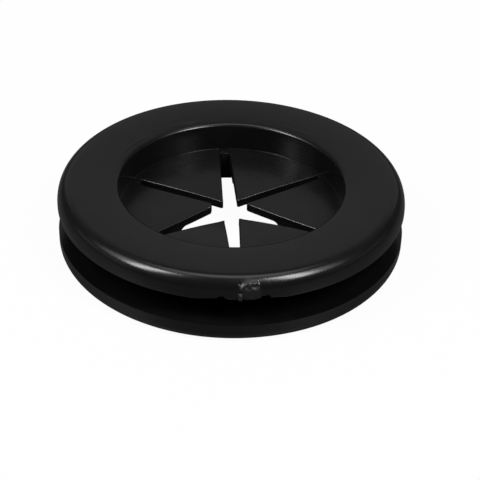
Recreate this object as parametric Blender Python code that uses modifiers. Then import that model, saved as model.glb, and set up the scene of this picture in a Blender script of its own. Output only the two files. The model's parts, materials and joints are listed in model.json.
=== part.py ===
"""Desk grommet: a soft black ring that snaps into a panel hole, closed by six bending leaves.

Two flanges grip the panel between them, the neck fills the panel's hole, and the leaves close
the bore. Each leaf bends on a living hinge, a web at the bore wall between the ends of two slits.
The axis of the ring is Z, the underside lies on z = 0, and all sizes are in metres.
"""

import math

import bmesh
import bpy
from mathutils import Matrix

# Driving dimensions of the ring
BORE_DIAMETER = 0.0260
NECK_WALL = 0.0020
FLANGE_OVERHANG = 0.0050
UPPER_FLANGE_THICKNESS = 0.0025
LOWER_FLANGE_THICKNESS = 0.0023
PANEL_THICKNESS = 0.0032

# Edge shapes of the flanges
MOUTH_FLARE = 0.0001
UPPER_LIP_RADIUS = 0.0003
LOWER_LIP_RADIUS = 0.0001
UPPER_RIM_ROUND_REACH = 0.00145
UPPER_RIM_ROUND_DEPTH = 0.0020
LOWER_RIM_ROUND_RADIUS = 0.00125
UPPER_GRIP_EDGE_RADIUS = 0.00018
LOWER_GRIP_EDGE_RADIUS = 0.0001
NECK_SPIGOT_DEPTH = 0.0005

# Driving dimensions of the leaves
LEAF_COUNT = 6
LEAF_THICKNESS = 0.0010
LEAF_PLANE_BELOW_MIDDLE = 0.0002
LEAF_TIP_LAND = 0.0004
SLIT_WIDTH_AT_HINGE = 0.0010
SLIT_WIDTH_AT_CENTRE = 0.00186
STAR_TURN = math.radians(4.6)
# Each leaf's own resting bend from flat, upwards positive, counted round from +X
LEAF_RESTING_BENDS = [math.radians(angle) for angle in (2.0, -2.0, -3.5, 0.0, -7.5, -5.5)]

# Clearances
SEAT_GAP = 0.0003
HINGE_GAP = 0.0003

# Fineness of the round shapes
ROUND_STEPS = 72
EDGE_ARC_STEPS = 5
NOSE_ARC_STEPS = 8
WEB_ARC_STEPS = 12
WELD_DISTANCE = 0.000001

# Sizes that follow from the driving dimensions
HEIGHT = LOWER_FLANGE_THICKNESS + PANEL_THICKNESS + UPPER_FLANGE_THICKNESS
BORE_RADIUS = BORE_DIAMETER / 2
NECK_RADIUS = BORE_RADIUS + NECK_WALL
FLANGE_RADIUS = NECK_RADIUS + FLANGE_OVERHANG
GROOVE_BOTTOM = LOWER_FLANGE_THICKNESS
GROOVE_TOP = LOWER_FLANGE_THICKNESS + PANEL_THICKNESS
LEAF_PLANE = HEIGHT / 2 - LEAF_PLANE_BELOW_MIDDLE
HALF_LEAF = LEAF_THICKNESS / 2
HALF_SECTOR = math.pi / LEAF_COUNT

RUBBER_BLACK = (0.021, 0.021, 0.022, 1.0)


def clear_scene():
    """Remove every object that the scene holds."""
    for item in list(bpy.data.objects):
        bpy.data.objects.remove(item, do_unlink=True)


def new_collection(name):
    """Make a collection under the scene."""
    collection = bpy.data.collections.new(name)
    bpy.context.scene.collection.children.link(collection)
    return collection


def rubber(name, roughness):
    """Make a black rubber material."""
    material = bpy.data.materials.new(name)
    material.use_nodes = True
    shader = material.node_tree.nodes["Principled BSDF"]
    shader.inputs["Base Color"].default_value = RUBBER_BLACK
    shader.inputs["Roughness"].default_value = roughness
    shader.inputs["Metallic"].default_value = 0.0
    return material


def arc(centre_x, centre_z, radius_x, radius_z, start, end, steps):
    """Points along a quarter or half of an ellipse, with angles in degrees."""
    points = []
    for step in range(steps + 1):
        angle = math.radians(start + (end - start) * step / steps)
        points.append((centre_x + radius_x * math.cos(angle), centre_z + radius_z * math.sin(angle)))
    return points


def bore_radius(z):
    """Radius of the bore wall at a height: it opens slightly from the middle to both mouths."""
    return BORE_RADIUS + MOUTH_FLARE * abs(z - HEIGHT / 2) / (HEIGHT / 2)


def flange_section(thickness, rim_reach, rim_depth, grip_edge_radius, lip_radius):
    """Section of a flange above the panel, from the bore over the top and down the rim to the seat."""
    grip = HEIGHT - thickness
    lip = min(lip_radius, thickness / 2)
    lip_start = bore_radius(HEIGHT - lip)
    round_depth = min(rim_depth, thickness - grip_edge_radius)
    seat_roof = grip + NECK_SPIGOT_DEPTH + SEAT_GAP
    seat_radius = NECK_RADIUS + SEAT_GAP
    section = arc(lip_start + lip, HEIGHT - lip, lip, lip, 180, 90, EDGE_ARC_STEPS)
    section += arc(FLANGE_RADIUS - rim_reach, HEIGHT - round_depth,
                   rim_reach, round_depth, 90, 0, 2 * EDGE_ARC_STEPS)
    section += arc(FLANGE_RADIUS - grip_edge_radius, grip + grip_edge_radius,
                   grip_edge_radius, grip_edge_radius, 0, -90, EDGE_ARC_STEPS)
    section += [(seat_radius, grip), (seat_radius, seat_roof), (bore_radius(seat_roof), seat_roof)]
    return section


def turned_over(section):
    """The same section on the other side of the panel, still running down its outer side."""
    return [(radius, HEIGHT - z) for radius, z in reversed(section)]


def neck_section():
    """Section of the neck, with a spigot at each end that stands in its flange's seat."""
    top = GROOVE_TOP + NECK_SPIGOT_DEPTH
    bottom = GROOVE_BOTTOM - NECK_SPIGOT_DEPTH
    middle = HEIGHT / 2
    return [(bore_radius(top), top), (NECK_RADIUS, top), (NECK_RADIUS, bottom),
            (bore_radius(bottom), bottom), (bore_radius(middle), middle)]


def turned_ring(name, section, material, collection):
    """Turn a closed section round the Z axis."""
    mesh = bpy.data.meshes.new(name)
    profile = bmesh.new()
    corners = [profile.verts.new((radius, 0.0, z)) for radius, z in section]
    for index, corner in enumerate(corners):
        profile.edges.new((corner, corners[(index + 1) % len(corners)]))
    bmesh.ops.remove_doubles(profile, verts=profile.verts, dist=WELD_DISTANCE)
    profile.to_mesh(mesh)
    profile.free()
    ring = bpy.data.objects.new(name, mesh)
    collection.objects.link(ring)
    mesh.materials.append(material)
    turn = ring.modifiers.new("turn", "SCREW")
    turn.axis = "Z"
    turn.angle = 2 * math.pi
    turn.steps = ROUND_STEPS
    turn.render_steps = ROUND_STEPS
    turn.use_merge_vertices = True
    turn.merge_threshold = WELD_DISTANCE
    turn.use_smooth_shade = True
    return ring


def plate_mesh(name, outline, thickness):
    """Mesh of a flat outline in the XY plane, thick about z = 0."""
    curve = bpy.data.curves.new(name, "CURVE")
    curve.dimensions = "2D"
    curve.fill_mode = "BOTH"
    curve.extrude = thickness / 2
    spline = curve.splines.new("POLY")
    spline.points.add(len(outline) - 1)
    spline.use_cyclic_u = True
    for point, (x, y) in zip(spline.points, outline):
        point.co = (x, y, 0.0, 1.0)
    holder = bpy.data.objects.new(name + "_outline", curve)
    bpy.context.scene.collection.objects.link(holder)
    bpy.context.view_layer.update()
    evaluated = holder.evaluated_get(bpy.context.evaluated_depsgraph_get())
    mesh = bpy.data.meshes.new_from_object(evaluated)
    mesh.name = name
    bpy.data.objects.remove(holder, do_unlink=True)
    welded = bmesh.new()
    welded.from_mesh(mesh)
    bmesh.ops.remove_doubles(welded, verts=welded.verts, dist=WELD_DISTANCE)
    bmesh.ops.recalc_face_normals(welded, faces=welded.faces)
    welded.to_mesh(mesh)
    welded.free()
    return mesh


def hinge_distance():
    """Distance of a leaf's bending axis from the ring's axis.

    The leaf's rounded nose stands round the bending axis, and its two corners keep the seat gap
    to the bore wall.
    """
    slope = math.tan(HALF_SECTOR)
    inset = SLIT_WIDTH_AT_HINGE / 2 / math.cos(HALF_SECTOR)
    reach = BORE_RADIUS * math.cos(math.pi / ROUND_STEPS) - SEAT_GAP
    linear = HALF_LEAF - slope * inset
    square = 1 + slope ** 2
    rest = HALF_LEAF ** 2 + inset ** 2 - reach ** 2
    return (-linear + math.sqrt(linear ** 2 - square * rest)) / square


def leaf_mesh(hinge, cutters):
    """Mesh of one leaf about its bending axis, which is local Y; the tip points along local -X."""
    slope = math.tan(HALF_SECTOR)
    inset_hinge = SLIT_WIDTH_AT_HINGE / 2 / math.cos(HALF_SECTOR)
    inset_centre = SLIT_WIDTH_AT_CENTRE / 2 / math.cos(HALF_SECTOR)
    root_half = hinge * slope - inset_hinge
    taper = slope + (inset_centre - inset_hinge) / hinge
    tip = (LEAF_TIP_LAND / 2 + inset_centre) / taper - hinge
    side = arc(0.0, 0.0, HALF_LEAF, HALF_LEAF, -90, 90, NOSE_ARC_STEPS)
    side += [(tip, HALF_LEAF), (tip, -HALF_LEAF)]
    nose_end = LEAF_THICKNESS
    tip_end = tip - HALF_LEAF
    half_land = LEAF_TIP_LAND / 2
    plan = [(nose_end, -root_half), (nose_end, root_half), (0.0, root_half), (tip, half_land),
            (tip_end, half_land), (tip_end, -half_land), (tip, -half_land), (0.0, -root_half)]
    blank_width = 2 * (root_half + HALF_LEAF)
    outline_depth = 2 * LEAF_THICKNESS
    blank = bpy.data.objects.new("leaf_blank", plate_mesh("leaf_blank", side, blank_width))
    outline = bpy.data.objects.new("leaf_outline", plate_mesh("leaf_outline", plan, outline_depth))
    blank.data.transform(Matrix.Rotation(math.pi / 2, 4, "X"))
    for item in (blank, outline):
        item.hide_render = True
        item.display_type = "WIRE"
        cutters.objects.link(item)
    trim = blank.modifiers.new("trim_to_outline", "BOOLEAN")
    trim.operation = "INTERSECT"
    trim.object = outline
    bpy.context.view_layer.update()
    evaluated = blank.evaluated_get(bpy.context.evaluated_depsgraph_get())
    mesh = bpy.data.meshes.new_from_object(evaluated)
    mesh.name = "leaf"
    mesh.set_sharp_from_angle(angle=math.radians(30))
    return mesh


def web_mesh(hinge):
    """Mesh of one hinge web: the slice of the bore's circle outside the leaf's nose."""
    chord = hinge + HALF_LEAF + HINGE_GAP
    radius = BORE_RADIUS * math.cos(math.pi / ROUND_STEPS) - SEAT_GAP
    half_angle = math.degrees(math.acos(chord / radius))
    outline = arc(0.0, 0.0, radius, radius, -half_angle, half_angle, WEB_ARC_STEPS)
    return plate_mesh("hinge_web", outline, LEAF_THICKNESS)


def main():
    """Build the ring, the hinge webs and the leaves."""
    clear_scene()
    parts = new_collection("desk_grommet")
    cutters = new_collection("cutters")
    flange_rubber = rubber("flange_rubber", 0.42)
    neck_rubber = rubber("neck_rubber", 0.5)
    leaf_rubber = rubber("leaf_rubber", 0.45)

    upper_section = flange_section(UPPER_FLANGE_THICKNESS, UPPER_RIM_ROUND_REACH, UPPER_RIM_ROUND_DEPTH,
                                   UPPER_GRIP_EDGE_RADIUS, UPPER_LIP_RADIUS)
    lower_section = flange_section(LOWER_FLANGE_THICKNESS, LOWER_RIM_ROUND_RADIUS, LOWER_RIM_ROUND_RADIUS,
                                   LOWER_GRIP_EDGE_RADIUS, LOWER_LIP_RADIUS)
    turned_ring("upper_flange", upper_section, flange_rubber, parts)
    turned_ring("neck", neck_section(), neck_rubber, parts)
    turned_ring("lower_flange", turned_over(lower_section), flange_rubber, parts)

    hinge = hinge_distance()
    web = web_mesh(hinge)
    web.materials.append(neck_rubber)
    leaf = leaf_mesh(hinge, cutters)
    leaf.materials.clear()
    leaf.materials.append(leaf_rubber)
    for index in range(LEAF_COUNT):
        turn = STAR_TURN + 2 * HALF_SECTOR * index
        bend = LEAF_RESTING_BENDS[index % len(LEAF_RESTING_BENDS)]
        fixed = bpy.data.objects.new(f"hinge_web_{index + 1}", web)
        fixed.location = (0.0, 0.0, LEAF_PLANE)
        fixed.rotation_euler = (0.0, 0.0, turn)
        parts.objects.link(fixed)
        moving = bpy.data.objects.new(f"leaf_{index + 1}", leaf)
        moving.location = (hinge * math.cos(turn), hinge * math.sin(turn), LEAF_PLANE)
        moving.rotation_euler = (0.0, bend, turn)
        parts.objects.link(moving)
        print(f"leaf_{index + 1} axis", [round(value, 6) for value in moving.location],
              "turn", round(math.degrees(turn), 3), "bend", round(math.degrees(bend), 3))


main()
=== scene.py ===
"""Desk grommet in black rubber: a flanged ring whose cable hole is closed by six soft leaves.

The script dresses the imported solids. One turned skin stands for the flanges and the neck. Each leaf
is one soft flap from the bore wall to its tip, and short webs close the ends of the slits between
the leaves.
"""

from __future__ import annotations

import json
import logging
import math
from dataclasses import dataclass, field
from enum import Enum

import bmesh
import bpy
from bmesh.types import BMEdge, BMesh, BMFace, BMVert
from bpy.types import Material, Object
from mathutils import Matrix, Vector
from mathutils import noise as hash_noise

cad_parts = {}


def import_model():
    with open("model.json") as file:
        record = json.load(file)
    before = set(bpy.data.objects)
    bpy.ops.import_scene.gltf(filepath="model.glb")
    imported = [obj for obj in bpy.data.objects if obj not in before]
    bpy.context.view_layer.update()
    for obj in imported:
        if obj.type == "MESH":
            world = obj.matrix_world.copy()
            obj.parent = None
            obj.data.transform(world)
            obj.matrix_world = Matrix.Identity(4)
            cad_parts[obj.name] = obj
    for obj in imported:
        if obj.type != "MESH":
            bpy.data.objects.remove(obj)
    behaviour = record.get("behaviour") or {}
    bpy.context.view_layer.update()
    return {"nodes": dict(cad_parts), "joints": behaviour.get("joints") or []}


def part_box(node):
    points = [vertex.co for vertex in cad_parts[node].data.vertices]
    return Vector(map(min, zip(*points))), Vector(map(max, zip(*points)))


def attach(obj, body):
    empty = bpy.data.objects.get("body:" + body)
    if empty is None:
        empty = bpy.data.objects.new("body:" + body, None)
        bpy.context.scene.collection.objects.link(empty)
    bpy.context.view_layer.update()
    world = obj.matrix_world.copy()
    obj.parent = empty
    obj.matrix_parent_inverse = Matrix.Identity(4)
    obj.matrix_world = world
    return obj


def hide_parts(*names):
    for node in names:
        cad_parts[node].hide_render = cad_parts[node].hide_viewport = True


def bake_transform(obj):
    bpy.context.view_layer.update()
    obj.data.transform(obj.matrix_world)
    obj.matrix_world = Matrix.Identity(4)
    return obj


LOG = logging.getLogger("desk_grommet")
MM = 0.001
LEAF_SECTOR = math.radians(60.0)
RUBBER_TINT = (1.0, 0.99, 0.985)
WHITE = (1.0, 1.0, 1.0, 1.0)
Colour = tuple[float, ...]
Points = list[tuple[float, float]]


class Slot(Enum):
    """The record's material slots, which each finish names."""

    FLANGE = "flange_rubber"
    LEAF = "leaf_rubber"


class Signal:
    """A shader socket that takes part in arithmetic: each operator adds one Math node."""

    def __init__(self, graph: Graph, socket: bpy.types.NodeSocket | None) -> None:
        """Wrap one output socket of a graph."""
        self.graph = graph
        self.socket = socket

    def _math(self, operation: str, first: Signal | float, second: Signal | float) -> Signal:
        """Add one Math node."""
        return self.graph.add("ShaderNodeMath", {"operation": operation}, {0: first, 1: second})

    def __add__(self, other: Signal | float) -> Signal:
        """Sum of two values."""
        return self._math("ADD", self, other)

    def __radd__(self, other: float) -> Signal:
        """Sum with a plain number on the left."""
        return self._math("ADD", other, self)

    def __sub__(self, other: Signal | float) -> Signal:
        """Difference of two values."""
        return self._math("SUBTRACT", self, other)

    def __rsub__(self, other: float) -> Signal:
        """Difference from a plain number on the left."""
        return self._math("SUBTRACT", other, self)

    def __mul__(self, other: Signal | float) -> Signal:
        """Product of two values."""
        return self._math("MULTIPLY", self, other)

    def __rmul__(self, other: float) -> Signal:
        """Product with a plain number on the left."""
        return self._math("MULTIPLY", other, self)

    def at_least(self, other: Signal | float) -> Signal:
        """The larger of two values."""
        return self._math("MAXIMUM", self, other)


NodeValue = Signal | float | str | Colour | Points


class Graph:
    """The node tree of one material."""

    def __init__(self, tree: bpy.types.NodeTree) -> None:
        """Empty a node tree and keep it."""
        tree.nodes.clear()
        self.tree = tree

    def add(self, kind: str, settings: dict[str, NodeValue] | None = None,
            inputs: dict[str | int, NodeValue] | None = None, output: str | int = 0) -> Signal:
        """Add one node.

        Args:
            kind: The node's type name.
            settings: The node's own properties; "stops" are a ramp's positions and values.
            inputs: Values or signals for the node's input sockets.
            output: The output socket to return.

        Returns:
            The chosen output as a signal, which is empty for a node without outputs.
        """
        node = self.tree.nodes.new(kind)
        for name, value in (settings or {}).items():
            if name == "stops":
                self._set_stops(node.color_ramp, value)
            else:
                setattr(node, name, value)
        for name, value in (inputs or {}).items():
            if isinstance(value, Signal):
                self.tree.links.new(value.socket, node.inputs[name])
            else:
                node.inputs[name].default_value = value
        return Signal(self, node.outputs[output] if len(node.outputs) else None)

    @staticmethod
    def _set_stops(ramp: bpy.types.ColorRamp, stops: Points) -> None:
        """Give a ramp its grey stops.

        Args:
            ramp: The ramp, whose own stops are dropped.
            stops: Position and value of each stop.
        """
        while len(ramp.elements) > 1:
            ramp.elements.remove(ramp.elements[-1])
        for index, (position, value) in enumerate(stops):
            element = ramp.elements[0] if index == 0 else ramp.elements.new(position)
            element.position = position
            element.color = (value, value, value, 1.0)

    def noise(self, place: Signal, feature: float, detail: float, roughness: float) -> Signal:
        """Noise from 0 to 1.

        Args:
            place: The coordinates that it reads.
            feature: Size of its largest lumps, in metres.
            detail: Number of finer layers.
            roughness: Strength of the finer layers.

        Returns:
            The noise value.
        """
        return self.add("ShaderNodeTexNoise", {"noise_dimensions": "3D"},
                        {"Vector": place, "Scale": 1.0 / feature, "Detail": detail, "Roughness": roughness},
                        "Fac")

    def ramp(self, value: Signal, *stops: tuple[float, float]) -> Signal:
        """Map a value through a grey ramp."""
        return self.add("ShaderNodeValToRGB", {"stops": list(stops)}, {"Fac": value}, "Color")

    def blend(self, factor: Signal, low: Signal | Colour, high: Signal | Colour) -> Signal:
        """Mix two colours by a factor."""
        return self.add("ShaderNodeMix", {"data_type": "RGBA"}, {0: factor, 6: low, 7: high}, 2)


def rubber_grey(value: float) -> Colour:
    """A grey with the faint warmth of carbon-black rubber."""
    return tuple(value * tint for tint in RUBBER_TINT) + (1.0,)


@dataclass(frozen=True)
class RubberFinish:
    """Black moulded rubber: a satin skin with a faint mottle, fine grain and a few pale specks.

    Where it has a torn reach, the skin round the torn centre is paler and rougher.
    """

    name: str
    slot: Slot
    dark: float
    light: float
    roughness: float
    smudge: float
    grain_feature: float
    grain_depth: float
    ripple_feature: float
    ripple_depth: float
    mottle_feature: float = 2.6 * MM
    smear_feature: float = 7.0 * MM
    grain_gloss: float = 0.06
    speck_spacing: float = 1.1 * MM
    speck_strength: float = 0.25
    speck_tone: float = 0.12
    torn_centre: tuple[float, float, float] = (0.0, 0.0, 0.0)
    torn_reach: float = 0.0
    torn_raggedness: float = 0.3
    torn_roughness: float = 0.22
    torn_tone: float = 0.012

    def material(self) -> Material:
        """Make the finish as a node material.

        Returns:
            The new material.
        """
        material = bpy.data.materials.new(self.name)
        material.use_nodes = True
        graph = Graph(material.node_tree)
        place = graph.add("ShaderNodeTexCoord", output="Object")
        mottle = graph.noise(place, self.mottle_feature, detail=4.0, roughness=0.6)
        smear = graph.noise(place, self.smear_feature, detail=3.0, roughness=0.55)
        grain = graph.noise(place, self.grain_feature, detail=3.0, roughness=0.6)
        ripple = graph.noise(place, self.ripple_feature, detail=2.0, roughness=0.5)
        dust = graph.add("ShaderNodeTexVoronoi", {"feature": "F1"},
                         {"Vector": place, "Scale": 1.0 / self.speck_spacing, "Randomness": 1.0}, "Distance")
        dusty = graph.ramp(smear, (0.52, 0.0), (0.7, 1.0))
        speck = graph.ramp(dust, (0.035, 1.0), (0.07, 0.0)) * dusty
        tone = graph.ramp(mottle, (0.3, 0.0), (0.72, 1.0))
        rubber = graph.blend(tone, rubber_grey(self.dark), rubber_grey(self.light))
        colour = graph.blend(speck * self.speck_strength, rubber, rubber_grey(self.speck_tone))
        rough = self.roughness + (smear - 0.5) * self.smudge + (grain - 0.5) * self.grain_gloss
        if self.torn_reach:
            away = graph.add("ShaderNodeVectorMath", {"operation": "DISTANCE"},
                             {0: place, 1: self.torn_centre}, "Value")
            ragged = away * (1.0 / self.torn_reach) + (grain - 0.5) * self.torn_raggedness
            torn = graph.ramp(ragged, (0.6, 1.0), (1.0, 0.0))
            rough = rough + torn * self.torn_roughness
            colour = graph.blend(torn * grain, colour, rubber_grey(self.torn_tone))
        fine = graph.add("ShaderNodeBump", output="Normal",
                         inputs={"Strength": 1.0, "Distance": self.grain_depth, "Height": grain})
        normal = graph.add("ShaderNodeBump", output="Normal",
                           inputs={"Strength": 1.0, "Distance": self.ripple_depth, "Height": ripple,
                                   "Normal": fine})
        skin = graph.add("ShaderNodeBsdfPrincipled", inputs={"Base Color": colour, "Roughness": rough,
                                                             "Normal": normal, "Metallic": 0.0})
        graph.add("ShaderNodeOutputMaterial", inputs={"Surface": skin})
        return material


FLANGE_SKIN = RubberFinish("flange_skin", Slot.FLANGE, dark=0.0042, light=0.0058,
                           roughness=0.22, smudge=0.05,
                           grain_feature=0.22 * MM, grain_depth=0.0012 * MM,
                           ripple_feature=1.6 * MM, ripple_depth=0.004 * MM,
                           torn_centre=(2.26 * MM, -19.7 * MM, 6.8 * MM), torn_reach=1.35 * MM)
LEAF_SKIN = RubberFinish("leaf_skin", Slot.LEAF, dark=0.0042, light=0.0065,
                         roughness=0.27, smudge=0.07,
                         grain_feature=0.18 * MM, grain_depth=0.002 * MM,
                         ripple_feature=1.1 * MM, ripple_depth=0.006 * MM)
SCAR_SKIN = RubberFinish("scar_skin", Slot.FLANGE, dark=0.008, light=0.02,
                         roughness=0.3, smudge=0.2,
                         grain_feature=0.12 * MM, grain_depth=0.006 * MM,
                         ripple_feature=0.4 * MM, ripple_depth=0.01 * MM)


def finished_piece(name: str, shape: BMesh, finish: Material, sharp_angle: float) -> Object:
    """Turn a finished bmesh into a smooth-shaded piece at the origin.

    Args:
        name: The piece's name.
        shape: The bmesh, which is freed.
        finish: The material of the whole piece.
        sharp_angle: Edges that turn more than this stay sharp, in degrees.

    Returns:
        The new object, linked to the scene.
    """
    bmesh.ops.recalc_face_normals(shape, faces=shape.faces)
    mesh = bpy.data.meshes.new(name)
    shape.to_mesh(mesh)
    shape.free()
    mesh.shade_smooth()
    mesh.set_sharp_from_angle(angle=math.radians(sharp_angle))
    mesh.materials.append(finish)
    piece = bpy.data.objects.new(name, mesh)
    bpy.context.scene.collection.objects.link(piece)
    return piece


def arc(centre: tuple[float, float], radii: tuple[float, float], start: float, end: float,
        steps: int) -> Points:
    """Points along an arc of an ellipse.

    Args:
        centre: The ellipse's centre, as radius and height.
        radii: Its half width and half height.
        start: First angle in degrees.
        end: Last angle in degrees.
        steps: Number of chords.

    Returns:
        The points, as radius and height.
    """
    angles = [math.radians(start + (end - start) * step / steps) for step in range(steps + 1)]
    return [(centre[0] + radii[0] * math.cos(angle), centre[1] + radii[1] * math.sin(angle))
            for angle in angles]


def bounded(value: float) -> float:
    """Keep a value from 0 to 1."""
    return min(1.0, max(0.0, value))


def smooth_step(value: float) -> float:
    """Ease from 0 to 1, flat at both ends."""
    share = bounded(value)
    return share * share * (3.0 - 2.0 * share)


def hump(value: float, centre: float, half_width: float) -> float:
    """A soft bump of height 1 that fades to nothing at its half width."""
    return smooth_step(1.0 - abs(value - centre) / half_width)


@dataclass
class RingSizes:
    """Sizes of the ring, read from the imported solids."""

    radius: float
    height: float
    neck_radius: float
    bore_radius: float
    groove_bottom: float
    groove_top: float

    @classmethod
    def from_frame(cls, nodes: dict[str, Object]) -> RingSizes:
        """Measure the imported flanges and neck.

        Args:
            nodes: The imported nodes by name.

        Returns:
            The ring's sizes.
        """
        upper_low, upper_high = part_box("upper_flange")
        _, lower_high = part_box("lower_flange")
        _, neck_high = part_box("neck")
        bore = min(math.hypot(corner.co.x, corner.co.y) for corner in nodes["neck"].data.vertices)
        return cls(radius=upper_high.x, height=upper_high.z, neck_radius=neck_high.x, bore_radius=bore,
                   groove_bottom=lower_high.z, groove_top=upper_low.z)


@dataclass(frozen=True)
class Mark:
    """One small ridge or pit of the torn skin: a soft stroke between two places, in millimetres.

    A place is the arc length along the rim from the front of the ring, towards +X, and the height
    over the rim's lower edge.
    """

    start: tuple[float, float]
    end: tuple[float, float]
    reach: float
    rise: float

    def rise_at(self, place: Vector) -> float:
        """How far the stroke lifts the skin at a place along the rim.

        Args:
            place: Arc length and height, in millimetres.

        Returns:
            The lift, in millimetres.
        """
        start = Vector(self.start)
        stroke = Vector(self.end) - start
        share = (place - start).dot(stroke) / stroke.length_squared
        nearest = start + stroke * bounded(share)
        return self.rise * smooth_step(1.0 - (place - nearest).length / self.reach)


@dataclass(frozen=True)
class Notch:
    """One step in the rim's lower edge: its middle, half width and height, in millimetres.

    The steepness tells how much of the half width lies at the full height.
    """

    middle: float
    half_width: float
    height: float
    steepness: float

    def lift_at(self, along: float) -> float:
        """How far the step lifts the edge at a place along the rim."""
        return self.height * smooth_step(self.steepness * hump(along, self.middle, self.half_width))


@dataclass
class GateScar:
    """The torn moulding gate on the front of the upper rim: a ragged stub between two small notches.

    Its lengths are in millimetres and its angles in degrees.
    """

    stub: Mark = Mark((2.2, 1.3), (2.4, 1.25), 1.3, 0.12)
    notches: tuple[Notch, ...] = (
        Notch(0.8, 5.2, 0.24, 1.6),
        Notch(-0.68, 0.5, 0.28, 3.0),
        Notch(4.02, 0.62, 0.34, 3.0),
        Notch(2.4, 1.2, -0.15, 1.5),
        Notch(0.5, 0.8, -0.12, 1.5),
        Notch(4.9, 1.3, 0.13, 1.6),
    )
    marks: tuple[Mark, ...] = (
        Mark((1.44, 1.42), (1.8, 1.78), 0.22, 0.07),
        Mark((2.72, 1.92), (3.06, 2.02), 0.22, 0.06),
        Mark((3.06, 2.0), (3.24, 1.82), 0.2, 0.05),
        Mark((2.88, 1.22), (2.88, 1.16), 0.18, 0.05),
        Mark((2.1, 0.42), (3.2, 0.62), 0.24, 0.07),
        Mark((1.97, 1.62), (2.02, 1.56), 0.24, -0.08),
        Mark((2.84, 1.62), (3.0, 1.64), 0.28, -0.11),
        Mark((1.26, 1.0), (1.4, 1.02), 0.24, -0.16),
        Mark((1.28, 1.95), (1.34, 1.9), 0.26, -0.06),
        Mark((2.2, 1.4), (2.6, 1.7), 0.16, -0.05),
    )
    stub_steepness: float = 2.2
    depth: float = 1.1
    depth_fade: float = 0.8
    slack_below: float = 0.1
    notch_top: float = 0.75
    notch_fade: float = 0.6
    ragged: float = 0.025
    ragged_steepness: float = 1.6
    coarse_grain: float = 0.34
    fine_grain: float = 0.15
    fine_share: float = 0.6
    finer_middle: float = 5.2
    finer_half_angle: float = 9.2
    finer_depth: float = 1.2
    finer_slack: float = 0.05
    finer_cuts: int = 5
    bead_along: float = 1.36
    bead_heights: tuple[float, ...] = (0.26, 0.44, 0.62)
    bead_radius: float = 0.25
    bead_sink: float = 0.06
    bead_lump: float = 0.3
    bead_lump_depth: float = 0.05
    bead_shifts: tuple[tuple[float, ...], ...] = ((7.3, 0.0, 2.1), (1.9, 11.4, 5.2), (4.6, 3.7, 13.8))

    @staticmethod
    def _on_rim(place: Vector, ring: RingSizes) -> Vector:
        """Arc length and height of a point of the rim, in millimetres."""
        along = ring.radius * math.atan2(place.x, -place.y)
        return Vector((along, place.z - ring.groove_top)) / MM

    def covers(self, place: Vector, ring: RingSizes) -> bool:
        """Tell whether a point lies in the stretch of the rim that needs a finer mesh.

        Args:
            place: A point on the ring's skin.
            ring: The ring's sizes.

        Returns:
            True inside that stretch.
        """
        angle = math.degrees(math.atan2(place.x, -place.y))
        return (abs(angle - self.finer_middle) < self.finer_half_angle
                and math.hypot(place.x, place.y) > ring.radius - self.finer_depth * MM
                and place.z > ring.groove_top - self.finer_slack * MM)

    def press(self, place: Vector, normal: Vector, ring: RingSizes) -> Vector:
        """Move one point of the rim as the scar shapes it.

        Args:
            place: A point on the ring's skin.
            normal: The skin's direction outwards there.
            ring: The ring's sizes.

        Returns:
            The moved point.
        """
        if place.z < ring.groove_top - self.slack_below * MM or place.y > 0.0:
            return place
        spot = self._on_rim(place, ring)
        inset = math.hypot(place.x, place.y) - ring.radius
        outer = smooth_step((inset + self.depth * MM) / (self.depth_fade * MM))
        low = smooth_step((self.notch_top - spot.y) / self.notch_fade)
        lift = sum(notch.lift_at(spot.x) for notch in self.notches) * outer * low
        torn = self.stub.rise_at(spot) / self.stub.rise
        rise = self.stub.rise * smooth_step(self.stub_steepness * torn)
        rise += sum(mark.rise_at(spot) for mark in self.marks)
        if torn > 0.0:
            grain = hash_noise.noise(place / (self.coarse_grain * MM))
            grain += self.fine_share * hash_noise.noise(place / (self.fine_grain * MM))
            rise += self.ragged * grain * smooth_step(self.ragged_steepness * torn)
        return place + Vector((0.0, 0.0, lift * MM)) + normal * (rise * outer * MM)

    def build(self, ring: RingSizes, finish: Material) -> Object:
        """Make the drop of rubber that hangs on the stub's left side, from a few lumpy beads.

        Args:
            ring: The ring's sizes.
            finish: Its material.

        Returns:
            The drop's object.
        """
        shape = bmesh.new()
        turn = Matrix.Rotation(self.bead_along * MM / ring.radius, 4, "Z")
        for height in self.bead_heights:
            made = bmesh.ops.create_icosphere(shape, subdivisions=4, radius=self.bead_radius * MM)["verts"]
            middle = (0.0, self.bead_sink * MM - ring.radius, ring.groove_top + height * MM)
            bmesh.ops.transform(shape, matrix=turn @ Matrix.Translation(middle), verts=made)
        for corner in shape.verts:
            place = corner.co / (self.bead_lump * MM)
            lump = Vector([hash_noise.noise(place + Vector(shift)) for shift in self.bead_shifts])
            corner.co += lump * self.bead_lump_depth * MM
        return finished_piece("gate_scar", shape, finish, sharp_angle=60.0)


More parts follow.
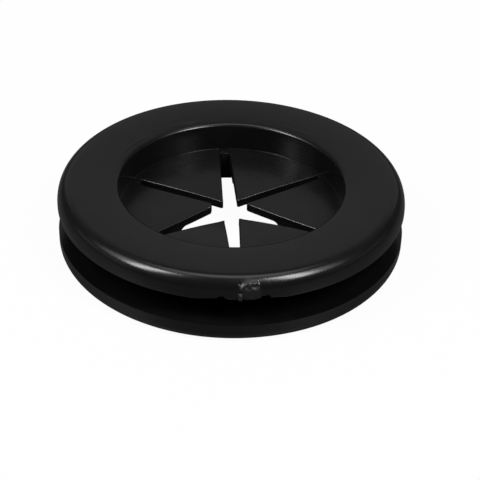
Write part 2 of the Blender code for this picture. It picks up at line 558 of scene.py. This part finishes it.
@dataclass
class Ring:
    """The ring's skin: both flanges, the groove between them and the bore, turned in one piece.

    A ridge arc is its middle and its half length round the ring, in degrees.
    """

    sizes: RingSizes
    scar: GateScar = field(default_factory=GateScar)
    mouth_draw_in: float = 0.03 * MM
    dish_depth: float = 0.32 * MM
    dish_power: float = 1.6
    lip_reach: float = 0.5 * MM
    lip_depth: float = 0.34 * MM
    lower_lip_radius: float = 0.1 * MM
    rim_reach: float = 1.6 * MM
    rim_depth: float = 2.08 * MM
    rim_fullness: float = 2.12
    rim_chords: int = 22
    lower_rim_radius: float = 1.25 * MM
    upper_edge_radius: float = 0.2 * MM
    upper_edge_land: float = 0.08 * MM
    groove_fillet: float = 0.25 * MM
    ridge_radius: float = 14.12 * MM
    ridge_half_width: float = 0.16 * MM
    ridge_height: float = 0.04 * MM
    ridge_steepness: float = 2.5
    ridge_arcs: tuple[tuple[float, float], ...] = ((58.0, 9.0), (115.0, 10.0), (149.0, 13.0))
    wander_feature: float = 9.0 * MM
    wander_height: float = 0.01 * MM
    turns: int = 288

    @property
    def land_start(self) -> float:
        """Radius at which the top face leaves the hole's lip."""
        return self._bore(self.sizes.height) + self.lip_reach

    @property
    def land_end(self) -> float:
        """Radius at which the top face meets the rim's round."""
        return self.sizes.radius - self.rim_reach

    def section(self) -> Points:
        """Outline of the ring's section, as radius and height, all the way round."""
        return self._top() + self._rim() + self._groove() + self._underside() + self._wall()

    def _top(self) -> Points:
        """The hole's lip and the top face, with close points at the witness ridge.

        Returns:
            The points from the bore outwards.
        """
        lip = arc((self.land_start, -self.lip_depth), (self.lip_reach, self.lip_depth), 180, 90, steps=12)
        ridge = [self.ridge_radius + share * self.ridge_half_width
                 for share in (-2.0, -1.0, -0.75, -0.5, -0.25, 0.0, 0.25, 0.5, 0.75, 1.0, 2.0)]
        land = [self.ridge_radius + (self.land_end - self.ridge_radius) * share
                for share in (0.2, 0.5, 0.8, 0.95)]
        points = [(radius, self._dish(radius) + drop) for radius, drop in lip]
        return points + [(radius, self._dish(radius)) for radius in ridge + land]

    def _rim(self) -> Points:
        """The upper rim's round, a little fuller than an ellipse, and its lower edge.

        Returns:
            The points from the top face down to the groove.
        """
        size = self.sizes
        power = 2.0 / self.rim_fullness
        low = size.height - self.rim_depth
        angles = [math.radians(90.0 * (1.0 - step / self.rim_chords)) for step in range(self.rim_chords + 1)]
        points = [(self.land_end + self.rim_reach * abs(math.cos(angle)) ** power,
                   low + self.rim_depth * abs(math.sin(angle)) ** power) for angle in angles]
        edge = self.upper_edge_radius
        points += [(size.radius, size.groove_top + edge + self.upper_edge_land)]
        return points + arc((size.radius - edge, size.groove_top + edge), (edge, edge), 0, -90, steps=7)

    def _groove(self) -> Points:
        """The groove between the flanges.

        Returns:
            The points from the upper flange's underside to the lower flange's upper corner.
        """
        size = self.sizes
        fillet = self.groove_fillet
        radii = (fillet, fillet)
        reach = size.radius - size.neck_radius
        points = [(size.neck_radius + reach * share, size.groove_top) for share in (0.8, 0.6, 0.3)]
        points += arc((size.neck_radius + fillet, size.groove_top - fillet), radii, 90, 180, steps=5)
        points += [(size.neck_radius, (size.groove_top + size.groove_bottom) / 2)]
        points += arc((size.neck_radius + fillet, size.groove_bottom + fillet), radii, 180, 270, steps=5)
        points += [(size.neck_radius + reach * share, size.groove_bottom) for share in (0.3, 0.6)]
        return points + [(size.radius, size.groove_bottom)]

    def _underside(self) -> Points:
        """The lower flange's round, the flat underside and the bore's lower lip.

        Returns:
            The points from the outside inwards.
        """
        foot = self.lower_rim_radius
        outer = self.sizes.radius - foot
        lip = self.lower_lip_radius
        points = arc((outer, foot), (foot, foot), 0, -90, steps=14)
        points += [(self.land_start + (outer - self.land_start) * share, 0.0) for share in (0.6, 0.0)]
        return points + arc((self._bore(0.0) + lip, lip), (lip, lip), -90, -180, steps=4)

    def _wall(self) -> Points:
        """The bore wall, from below upwards."""
        heights = [self.sizes.height * share for share in (0.08, 0.2, 0.32, 0.42, 0.5, 0.58, 0.68, 0.8)]
        return [(self._bore(height), height) for height in heights]

    def _bore(self, height: float) -> float:
        """Radius of the bore wall, which draws in a little towards both mouths."""
        return self.sizes.bore_radius - self.mouth_draw_in * abs(2.0 * height / self.sizes.height - 1.0)

    def _dish(self, radius: float) -> float:
        """Height of the top face, which falls a little from the rim to the hole."""
        share = max(0.0, (self.land_end - radius) / (self.land_end - self._bore(self.sizes.height)))
        return self.sizes.height - self.dish_depth * share ** self.dish_power

    def build(self, finish: Material) -> Object:
        """Turn the section into the ring's skin and press the scar and the moulding marks into it.

        Args:
            finish: The skin's material.

        Returns:
            The skin's object.
        """
        shape = bmesh.new()
        corners = [shape.verts.new((0.0, -radius, z)) for radius, z in self.section()]
        edges = [shape.edges.new((corner, corners[(index + 1) % len(corners)]))
                 for index, corner in enumerate(corners)]
        bmesh.ops.spin(shape, geom=corners + edges, cent=(0.0, 0.0, 0.0), axis=(0.0, 0.0, 1.0),
                       angle=2 * math.pi, steps=self.turns, use_merge=True)
        bmesh.ops.remove_doubles(shape, verts=shape.verts, dist=0.001 * MM)
        near = [edge for edge in shape.edges
                if self.scar.covers((edge.verts[0].co + edge.verts[1].co) / 2, self.sizes)]
        bmesh.ops.subdivide_edges(shape, edges=near, cuts=self.scar.finer_cuts, use_grid_fill=True)
        for corner in shape.verts:
            place = self._moulding_marks(corner.co)
            corner.co = self.scar.press(place, self._rim_normal(place), self.sizes)
        return finished_piece("ring_skin", shape, finish, sharp_angle=50.0)

    def _rim_normal(self, place: Vector) -> Vector:
        """Work out the direction outwards of the upper rim.

        Args:
            place: A point on the rim.

        Returns:
            The direction, of length 1.
        """
        share = bounded((place.z - self.sizes.height + self.rim_depth) / self.rim_depth)
        outward = Vector((place.x, place.y, 0.0)).normalized()
        flat = (1.0 - share ** self.rim_fullness) ** (1.0 - 1.0 / self.rim_fullness)
        return (outward * flat + Vector((0.0, 0.0, share ** (self.rim_fullness - 1.0)))).normalized()

    def _moulding_marks(self, place: Vector) -> Vector:
        """Raise the broken witness ridge round the hole and let the skin wander a little.

        Args:
            place: A point on the turned skin.

        Returns:
            The moved point.
        """
        moved = place.copy()
        radial = math.hypot(place.x, place.y)
        if place.z > self.sizes.groove_top:
            angle = math.degrees(math.atan2(place.y, place.x))
            stretch = max(smooth_step(self.ridge_steepness * hump(angle, middle, half))
                          for middle, half in self.ridge_arcs)
            moved.z += self.ridge_height * hump(radial, self.ridge_radius, self.ridge_half_width) * stretch
        wander = hash_noise.noise(place / self.wander_feature) * self.wander_height
        outward = Vector((place.x, place.y, 0.0)) / max(radial, MM)
        return moved + outward * wander

    def dress(self) -> list[Object]:
        """Build the skin and the scar's drop, and hang them on the frame.

        Returns:
            The finished pieces.
        """
        skin = self.build(FLANGE_SKIN.material())
        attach(skin, "ring")
        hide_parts("upper_flange", "neck", "lower_flange")
        drop = self.scar.build(self.sizes, SCAR_SKIN.material())
        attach(drop, "ring")
        return [skin, drop]


@dataclass(frozen=True)
class Hinge:
    """Where one leaf bends: distance from the ring's axis, angle round it and height."""

    distance: float
    turn: float
    level: float

    @classmethod
    def from_joint(cls, joint: dict) -> Hinge:
        """Read the place of a packed joint."""
        x, y, z = joint["pos_m"]
        return cls(math.hypot(x, y), math.atan2(y, x), z)


@dataclass(frozen=True)
class Slit:
    """One cut of the star: a little off its even place, tapered, and closed by a short web at the wall."""

    offset: float
    half_width_at_hinge: float
    half_width_at_centre: float
    web: float = 1.1 * MM

    def edge(self, hinge: float, side: int) -> tuple[float, float]:
        """The straight edge that the cut leaves on a leaf.

        Args:
            hinge: Distance of the leaf's bending axis from the ring's axis.
            side: 1 for the leaf's counter-clockwise edge and -1 for the other one.

        Returns:
            Slope and drop: the leaf's half width is the slope times the distance, less the drop.
        """
        angle = LEAF_SECTOR / 2 + side * self.offset
        across = Vector((math.sin(angle), -math.cos(angle)))
        near = across * self.half_width_at_centre
        far = Vector((math.cos(angle), math.sin(angle))) * hinge + across * self.half_width_at_hinge
        slope = (far.y - near.y) / (far.x - near.x)
        return slope, slope * near.x - near.y

    def half_width(self, distance: float, hinge: float) -> float:
        """Half of the cut's width at a distance from the ring's axis."""
        widening = self.half_width_at_hinge - self.half_width_at_centre
        return self.half_width_at_centre + widening * distance / hinge


@dataclass(frozen=True)
class LeafForm:
    """How one leaf differs from its neighbours: its sag, twist, blunt tip and thicker root."""

    sag: float
    twist: float
    tip_land: float
    tip_roundness: float
    thick_start: float


@dataclass
class Leaf:
    """One soft leaf of the star, from inside the bore wall to its tip."""

    number: int
    hinge: Hinge
    ring: RingSizes
    cuts: dict[int, Slit]
    form: LeafForm
    thickness: float = 1.0 * MM
    tip_thickness: float = 0.55
    twist_span: float = 0.6
    root_thickening: float = 0.6 * MM
    root_step: float = 0.7 * MM
    root_sink: float = 0.3 * MM
    root_fillet: float = 0.08 * MM
    root_fillet_rise: float = 0.8
    top_edge_radius: float = 0.17 * MM
    under_edge_radius: float = 0.05 * MM
    edge_share: float = 0.45
    bend_start_offset: float = 0.95 * MM
    bend_end_offset: float = -1.45 * MM
    body_inset: float = 1.1 * MM
    columns: int = 26
    edge_steps: int = 5
    tip_rows: int = 8
    body_rows: int = 30
    root_rows: int = 24
    root_gathering: float = 1.6

    @property
    def body_end(self) -> float:
        """Distance from the ring's axis at which the straight body ends and the root begins."""
        return self.hinge.distance - self.body_inset

    def half_width(self, side: int, distance: float) -> float:
        """Width of one half of the leaf at a distance from the ring's axis."""
        slope, drop = self.cuts[side].edge(self.hinge.distance, side)
        return slope * distance - drop

    def _tip_distance(self) -> float:
        """Distance from the ring's axis at which the leaf is as wide as its tip's land."""
        edges = [self.cuts[side].edge(self.hinge.distance, side) for side in (1, -1)]
        return (self.form.tip_land + sum(drop for _, drop in edges)) / sum(slope for slope, _ in edges)

    def _corner_distance(self, side: int, radius: float) -> float:
        """Find where one slit edge meets a circle round the ring's axis.

        Args:
            side: The leaf's edge, 1 or -1.
            radius: The circle's radius.

        Returns:
            The distance along the leaf's middle.
        """
        slope, drop = self.cuts[side].edge(self.hinge.distance, side)
        square = 1 + slope ** 2
        return (slope * drop + math.sqrt((slope * drop) ** 2 - square * (drop ** 2 - radius ** 2))) / square

    def _cross_section(self) -> list[tuple[float, float, float, int]]:
        """List the points round the leaf's section.

        Returns:
            For each point the share of the half width, the rounded edge's sideways and upward parts,
            and the face: 1 for the top and -1 for the underside.
        """
        top = [(1.0 - 2.0 * step / self.columns, 0.0, 1.0, 1) for step in range(self.columns + 1)]
        under = [(-share, 0.0, -1.0, -1) for share, _, _, _ in top]
        quarter = [math.radians(90.0 * step / self.edge_steps) for step in range(1, self.edge_steps + 1)]
        upper_right = [(-1.0, -math.sin(angle), math.cos(angle), 1) for angle in quarter]
        lower_right = [(-1.0, -math.cos(angle), -math.sin(angle), -1) for angle in [0.0] + quarter[:-1]]
        lower_left = [(1.0, math.sin(angle), -math.cos(angle), -1) for angle in quarter]
        upper_left = [(1.0, math.cos(angle), math.sin(angle), 1) for angle in [0.0] + quarter[:-1]]
        return top + upper_right + lower_right + under + lower_left + upper_left

    def _stations(self) -> list[tuple[float, float, float]]:
        """List the places along the leaf, closer together near the wall.

        Returns:
            For each place the travel, from 0 at the tip over 1 at the body's end to 2 at the wall, how
            far the tip has widened and how thick the end is.
        """
        quarter = math.radians(90.0)
        tip = [(0.0, math.sin(quarter * step / self.tip_rows), 1.0) for step in range(1, self.tip_rows)]
        body = [(step / self.body_rows, 1.0, 1.0) for step in range(self.body_rows + 1)]
        root = [(2.0 - (1.0 - step / self.root_rows) ** self.root_gathering, 1.0, 1.0)
                for step in range(1, self.root_rows + 1)]
        return tip + body + root + [(2.0, 1.0, 0.0)]

    def _outline(self, travel: float, wide: float, share: float) -> tuple[float, float, float]:
        """Work out the leaf's outline at a place along it.

        Args:
            travel: The place along the leaf.
            wide: How far the tip has widened.
            share: Share of the half width; its sign chooses the side.

        Returns:
            The distance from the ring's axis, the half width on that side and the middle it is taken from.
        """
        side = 1 if share >= 0.0 else -1
        if travel > 1.0:
            outer = self.ring.bore_radius + self.root_sink
            corner = self._corner_distance(side, outer)
            edge = self.half_width(side, self.body_end + (travel - 1.0) * (corner - self.body_end))
            wall = math.sqrt(outer ** 2 - (share * self.half_width(side, corner)) ** 2)
            return self.body_end + (travel - 1.0) * (wall - self.body_end), edge, 0.0
        tip = self._tip_distance()
        along = tip + (self.body_end - tip) * travel
        edge = self.half_width(side, along)
        if wide == 1.0:
            return along, edge, 0.0
        middle = (self.half_width(1, along) - self.half_width(-1, along)) / 2
        along -= self.form.tip_roundness * math.sqrt(1.0 - wide ** 2)
        return along, (edge - side * middle) * wide, middle

    def _place(self, station: tuple[float, float, float], point: tuple[float, float, float, int]) -> Vector:
        """Work out one point of the flat leaf, before it bends.

        Args:
            station: The place along the leaf.
            point: The point of the cross section.

        Returns:
            The point with X along the leaf's middle, outwards, and Z up from the leaf's middle plane.
        """
        travel, wide, thick = station
        share, sideways, upward, face = point
        along, edge, middle = self._outline(travel, wide, share)
        rounding = self.top_edge_radius if face > 0 else self.under_edge_radius
        radius = thick * min(rounding, self.edge_share * edge)
        lateral = middle + share * (edge - radius) + sideways * radius
        height = face * (self.thickness / 2 - radius) + upward * radius
        if face < 0:
            height -= self.root_thickening * smooth_step((along - self.form.thick_start) / self.root_step)
        height *= self.tip_thickness + (1.0 - self.tip_thickness) * wide
        reach = math.hypot(along, lateral) - (self.ring.bore_radius - self.root_fillet)
        if reach > 0.0:
            curve = 1.0 - math.sqrt(1.0 - bounded(reach / self.root_fillet) ** 2)
            height += face * self.root_fillet * curve * self.root_fillet_rise
        return Vector((along, lateral, height * thick))

    def _rest_shape(self, flat: Vector) -> Vector:
        """Let a point of the flat leaf sag and twist to its resting shape.

        Args:
            flat: The point of the flat leaf.

        Returns:
            The moved point.
        """
        span = max(0.0, self.hinge.distance - flat.x) / self.hinge.distance
        lean = math.tan(self.form.twist) * smooth_step(span / self.twist_span)
        return flat + Vector((0.0, 0.0, self.form.sag * span ** 2 + flat.y * lean))

    def build(self, finish: Material) -> Object:
        """Loft the leaf's section from the tip to the wall.

        Args:
            finish: The leaf's material.

        Returns:
            The leaf's object.
        """
        shape = bmesh.new()
        section = self._cross_section()
        loop = bmesh.ops.create_circle(shape, segments=len(section), radius=MM)["verts"]
        tip_edges = self._loop_edges(loop)
        for index, station in enumerate(self._stations()):
            if index:
                grown = bmesh.ops.extrude_edge_only(shape, edges=self._loop_edges(loop))["geom"]
                loop = self._matching(loop, grown)
            for corner, point in zip(loop, section):
                corner.co = self._rest_shape(self._place(station, point))
        bmesh.ops.contextual_create(shape, geom=tip_edges)
        bmesh.ops.remove_doubles(shape, verts=loop, dist=0.0005 * MM)
        place = Matrix.Translation((0.0, 0.0, self.hinge.level)) @ Matrix.Rotation(self.hinge.turn, 4, "Z")
        bmesh.ops.transform(shape, matrix=place, verts=shape.verts)
        return finished_piece(f"leaf_flap_{self.number}", shape, finish, sharp_angle=55.0)

    @staticmethod
    def _loop_edges(loop: list[BMVert]) -> list[BMEdge]:
        """Edges between neighbouring points of a closed loop."""
        pairs = zip(loop, loop[1:] + loop[:1])
        return [next(edge for edge in first.link_edges if edge.other_vert(first) is second)
                for first, second in pairs]

    @staticmethod
    def _matching(loop: list[BMVert], grown: list[BMVert | BMEdge | BMFace]) -> list[BMVert]:
        """Put the points of a newly extruded loop in the order of the old loop's points.

        Args:
            loop: The old loop's points.
            grown: All that the extrusion made.

        Returns:
            The new loop's points.
        """
        fresh = {item for item in grown if isinstance(item, BMVert)}
        neighbours = [[edge.other_vert(corner) for edge in corner.link_edges] for corner in loop]
        return [next(other for other in others if other in fresh) for others in neighbours]

    def dress(self, finish: Material) -> Object:
        """Build the leaf in its place and hide the solid leaf and hinge web that it replaces.

        Args:
            finish: The leaf's material.

        Returns:
            The finished leaf.
        """
        flap = self.build(finish)
        outward = Vector((math.cos(self.hinge.turn), math.sin(self.hinge.turn), 0.0))
        level = Vector((0.0, 0.0, self.hinge.level))
        body = f"leaf_{self.number}"
        start = level + outward * (self.hinge.distance + self.bend_start_offset)
        end = level + outward * (self.hinge.distance + self.bend_end_offset)
        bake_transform(flap)
        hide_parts(body, f"hinge_web_{self.number}")
        return flap


@dataclass
class SlitWebs:
    """The short bridges of rubber that close the ends of the slits at the bore wall."""

    ring: RingSizes
    slits: tuple[Slit, ...]
    first_hinge: Hinge
    top: float = 0.49 * MM
    bottom: float = -1.0 * MM
    sink: float = 0.3 * MM
    seam: float = 0.012 * MM
    edge_radius: float = 0.05 * MM

    def build(self, finish: Material) -> Object:
        """Make one block per slit, as wide as the slit less a seam on both sides.

        Args:
            finish: The webs' material.

        Returns:
            The webs' object.
        """
        shape = bmesh.new()
        for index, slit in enumerate(self.slits):
            block = bmesh.ops.create_cube(shape, size=2.0)["verts"]
            inner = self.ring.bore_radius - slit.web
            outer = self.ring.bore_radius + self.sink
            for corner in block:
                distance = outer if corner.co.x > 0.0 else inner
                width = slit.half_width(distance, self.first_hinge.distance) - self.seam
                height = self.top if corner.co.z > 0.0 else self.bottom
                corner.co = Vector((distance, corner.co.y * width, height))
            turn = self.first_hinge.turn + (index + 0.5) * LEAF_SECTOR + slit.offset
            place = Matrix.Translation((0.0, 0.0, self.first_hinge.level)) @ Matrix.Rotation(turn, 4, "Z")
            bmesh.ops.transform(shape, matrix=place, verts=block)
        bmesh.ops.bevel(shape, geom=shape.edges, offset=self.edge_radius, segments=3, profile=0.5,
                        affect="EDGES", material=-1)
        return finished_piece("slit_webs", shape, finish, sharp_angle=40.0)

    def dress(self, finish: Material) -> Object:
        """Build the webs and let them stay with the ring.

        Args:
            finish: The webs' material.

        Returns:
            The finished webs.
        """
        webs = self.build(finish)
        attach(webs, "ring")
        return webs


@dataclass
class Star:
    """The six leaves that close the hole, each with its own small sag, twist and blunt tip.

    Slit n lies on the counter-clockwise side of leaf n.
    """

    ring: RingSizes
    joints: list[dict]
    slits: tuple[Slit, ...] = (
        Slit(math.radians(-0.7), 0.34 * MM, 0.89 * MM, web=0.5 * MM),
        Slit(math.radians(0.4), 0.62 * MM, 0.86 * MM),
        Slit(math.radians(1.8), 0.48 * MM, 0.87 * MM),
        Slit(math.radians(2.4), 0.30 * MM, 0.96 * MM),
        Slit(math.radians(-0.5), 0.50 * MM, 0.91 * MM),
        Slit(math.radians(-0.5), 0.35 * MM, 0.93 * MM),
    )
    forms: tuple[LeafForm, ...] = (
        LeafForm(0.47 * MM, math.radians(0.25), 0.45 * MM, 0.2 * MM, 4.9 * MM),
        LeafForm(-0.27 * MM, math.radians(-1.5), 0.3 * MM, 0.12 * MM, 6.2 * MM),
        LeafForm(-0.45 * MM, math.radians(0.15), 0.3 * MM, 0.12 * MM, 6.2 * MM),
        LeafForm(0.49 * MM, math.radians(0.0), 1.15 * MM, 0.3 * MM, 5.45 * MM),
        LeafForm(-1.38 * MM, math.radians(1.55), 0.12 * MM, 0.12 * MM, 6.2 * MM),
        LeafForm(-1.06 * MM, math.radians(-0.15), 0.2 * MM, 0.12 * MM, 6.2 * MM),
    )

    def dress(self) -> list[Object]:
        """Build every leaf on its joint and the webs between them.

        Returns:
            The finished pieces.
        """
        finish = LEAF_SKIN.material()
        hinges = [Hinge.from_joint(joint) for joint in self.joints]
        pieces = []
        for index, (hinge, form) in enumerate(zip(hinges, self.forms)):
            cuts = {1: self.slits[index], -1: self.slits[index - 1]}
            pieces.append(Leaf(index + 1, hinge, self.ring, cuts, form).dress(finish))
        pieces.append(SlitWebs(self.ring, self.slits, hinges[0]).dress(finish))
        return pieces


@dataclass
class Lamp:
    """One soft lamp, placed by the direction that it shines from, in degrees."""

    name: str
    azimuth: float
    elevation: float
    distance: float
    width: float
    height: float
    watts: float

    def build(self, target: Vector) -> None:
        """Make the lamp and turn it to the target.

        Args:
            target: The point that it shines on.
        """
        data = bpy.data.lights.new(self.name, "AREA")
        data.shape = "RECTANGLE"
        data.size = self.width
        data.size_y = self.height
        data.energy = self.watts
        lamp = bpy.data.objects.new(self.name, data)
        azimuth = math.radians(self.azimuth)
        elevation = math.radians(self.elevation)
        away = Vector((math.sin(azimuth) * math.cos(elevation), -math.cos(azimuth) * math.cos(elevation),
                       math.sin(elevation)))
        lamp.location = target + away * self.distance
        lamp.rotation_euler = away.to_track_quat("Z", "Y").to_euler()
        bpy.context.scene.collection.objects.link(lamp)


@dataclass
class Studio:
    """The pale floor, the soft light and the camera."""

    lamps: tuple[Lamp, ...] = (
        Lamp("left_softbox", -65.5, 49.0, 0.45, 0.08, 0.25, 1.08),
        Lamp("left_wing", -85.0, 46.0, 0.45, 0.12, 0.26, 0.13),
        Lamp("right_softbox", 51.0, 51.5, 0.45, 0.11, 0.23, 1.22),
        Lamp("right_wing", 70.0, 46.5, 0.45, 0.12, 0.28, 0.13),
        Lamp("overhead_panel", 180.0, 80.0, 0.6, 0.4, 0.26, 0.52),
        Lamp("back_panel_high", 180.0, 46.0, 0.7, 1.0, 0.2, 0.05),
        Lamp("back_panel_low", 180.0, 26.0, 0.7, 1.0, 0.28, 0.17),
        Lamp("left_fill", -85.0, 14.0, 0.6, 0.5, 0.12, 0.045),
        Lamp("right_fill", 85.0, 14.0, 0.6, 0.5, 0.12, 0.025),
    )
    aim_height: float = 5.0 * MM
    ambient: float = 0.052
    floor_size: float = 3.0
    floor_colour: float = 0.8
    floor_shade: float = 0.09
    floor_roughness: float = 0.45
    white_share: float = 0.96
    gloss_share: float = 0.01
    camera_place: tuple[float, float, float] = (1.135 * MM, -132.33 * MM, 90.84 * MM)
    camera_elevation: float = 34.612
    camera_roll: float = 1.5
    lens: float = 101.88
    clip_range: tuple[float, float] = (0.01, 20.0)

    def build(self) -> None:
        """Set the floor, the lamps, the world and the camera."""
        self._floor()
        for lamp in self.lamps:
            lamp.build(Vector((0.0, 0.0, self.aim_height)))
        self._world()
        self._camera()
        bpy.context.scene.view_settings.view_transform = "Standard"

    def _background_share(self, graph: Graph) -> Signal:
        """Tell how far a ray sees the plain white background instead of the lit surface.

        Args:
            graph: The floor's node tree.

        Returns:
            The share, from 0 to 1.
        """
        rays = {name: graph.add("ShaderNodeLightPath", output=name)
                for name in ("Is Camera Ray", "Is Glossy Ray", "Is Transmission Ray")}
        mirrored = rays["Is Glossy Ray"].at_least(rays["Is Transmission Ray"])
        return rays["Is Camera Ray"] * self.white_share + mirrored * self.gloss_share

    def _floor(self) -> None:
        """A wide pale floor that looks white and keeps the object's shadow."""
        shape = bmesh.new()
        bmesh.ops.create_grid(shape, x_segments=4, y_segments=4, size=self.floor_size / 2)
        material = bpy.data.materials.new("pale_floor")
        material.use_nodes = True
        graph = Graph(material.node_tree)
        seen = graph.add("ShaderNodeLightPath", output="Is Camera Ray")
        pale = graph.blend(seen, (self.floor_shade,) * 3 + (1.0,), (self.floor_colour,) * 3 + (1.0,))
        satin = graph.add("ShaderNodeBsdfPrincipled",
                          inputs={"Base Color": pale, "Roughness": self.floor_roughness})
        white = graph.add("ShaderNodeEmission", inputs={"Color": WHITE, "Strength": 1.0})
        share = self._background_share(graph)
        mixed = graph.add("ShaderNodeMixShader", inputs={0: share, 1: satin, 2: white})
        graph.add("ShaderNodeOutputMaterial", inputs={"Surface": mixed})
        floor = finished_piece("floor", shape, material, sharp_angle=30.0)

    def _world(self) -> None:
        """Dim even light all round, seen as white."""
        world = bpy.data.worlds.new("studio")
        bpy.context.scene.world = world
        world.use_nodes = True
        graph = Graph(world.node_tree)
        seen = graph.add("ShaderNodeLightPath", output="Is Camera Ray")
        strength = self.ambient + seen * (1.0 - self.ambient)
        sky = graph.add("ShaderNodeBackground", inputs={"Color": WHITE, "Strength": strength})
        graph.add("ShaderNodeOutputWorld", inputs={"Surface": sky})

    def _camera(self) -> None:
        """The camera at the photograph's place and angle."""
        data = bpy.data.cameras.new("camera")
        data.lens = self.lens
        data.clip_start, data.clip_end = self.clip_range
        camera = bpy.data.objects.new("camera", data)
        tilt = Matrix.Rotation(math.radians(90.0 - self.camera_elevation), 4, "X")
        roll = Matrix.Rotation(math.radians(self.camera_roll), 4, "Z")
        camera.matrix_world = Matrix.Translation(self.camera_place) @ tilt @ roll
        bpy.context.scene.collection.objects.link(camera)
        bpy.context.scene.camera = camera


def main() -> None:
    """Load the frame, light it, dress the ring and the leaves, and report each piece."""
    logging.basicConfig(level=logging.INFO, format="%(name)s %(message)s")
    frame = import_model()
    Studio().build()
    sizes = RingSizes.from_frame(frame["nodes"])
    for assembly in (Ring(sizes), Star(sizes, frame["joints"])):
        for piece in assembly.dress():
            LOG.info("%s: %d faces", piece.name, len(piece.data.polygons))


if __name__ == "__main__":
    main()
